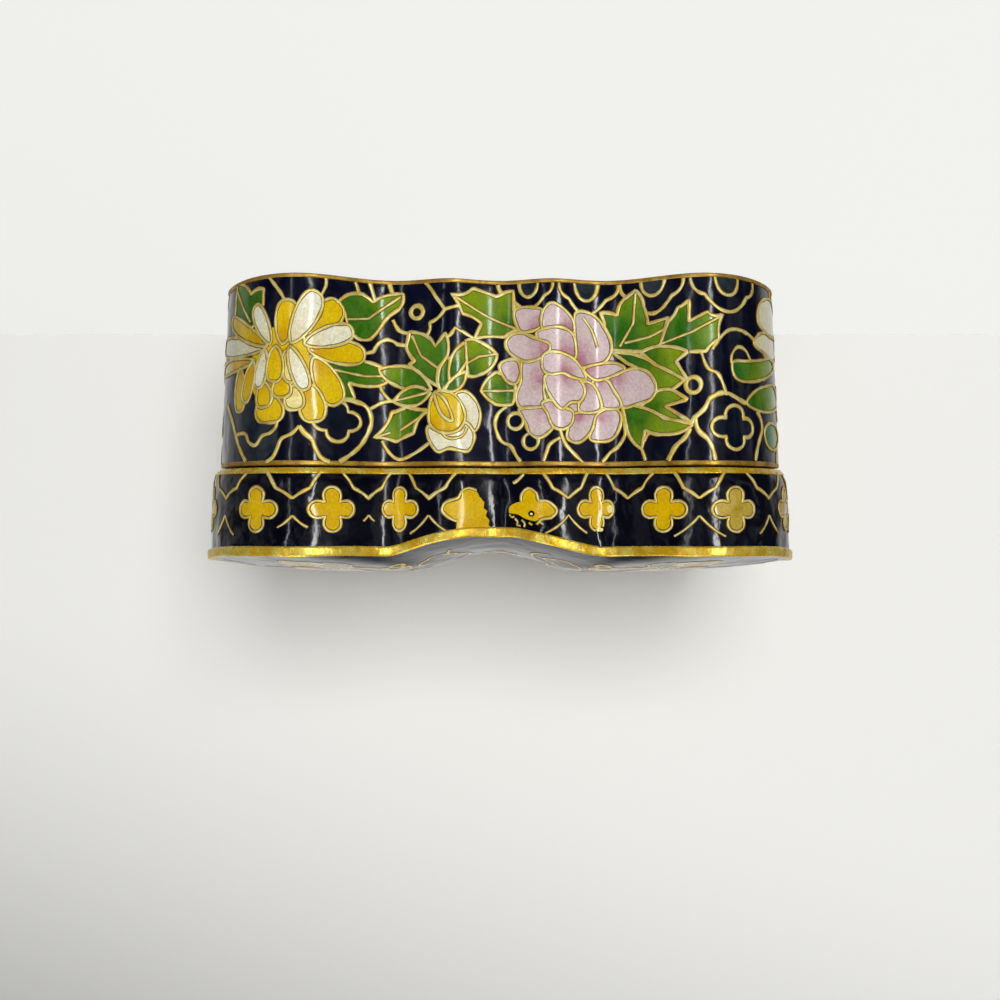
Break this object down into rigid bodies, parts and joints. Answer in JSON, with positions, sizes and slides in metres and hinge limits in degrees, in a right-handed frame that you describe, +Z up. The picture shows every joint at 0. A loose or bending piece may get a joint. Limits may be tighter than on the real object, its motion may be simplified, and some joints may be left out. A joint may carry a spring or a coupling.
{
  "type": "cloisonne enamel box",
  "caption": "Small hollow trinket box with a wing-shaped outline and a lid that lifts off, enamelled with flowers between metal wires and edged with gilt strips.",
  "frame": {"origin": "middle of the foot, on the surface that the box stands on", "axes": "+X along the box's length, +Y from the front wall to the back wall, +Z up through the lid"},
  "size_m": [0.0772, 0.0515, 0.0371],
  "materials": {
    "enamel": "fused glossy enamel on copper, night blue with flowers in yellow, white, pink and green",
    "gilt": "polished gilt, lightly pitted and browned in its hollows"
  },
  "bodies": {
    "root": {"body_shell": "enamel", "foot_rim": "gilt", "body_mouth_rim": "gilt", "collar": "gilt", "lid_mouth_rim": "gilt", "lid_shell": "enamel", "lid_top_rim": "gilt"}
  },
  "joints": []
}
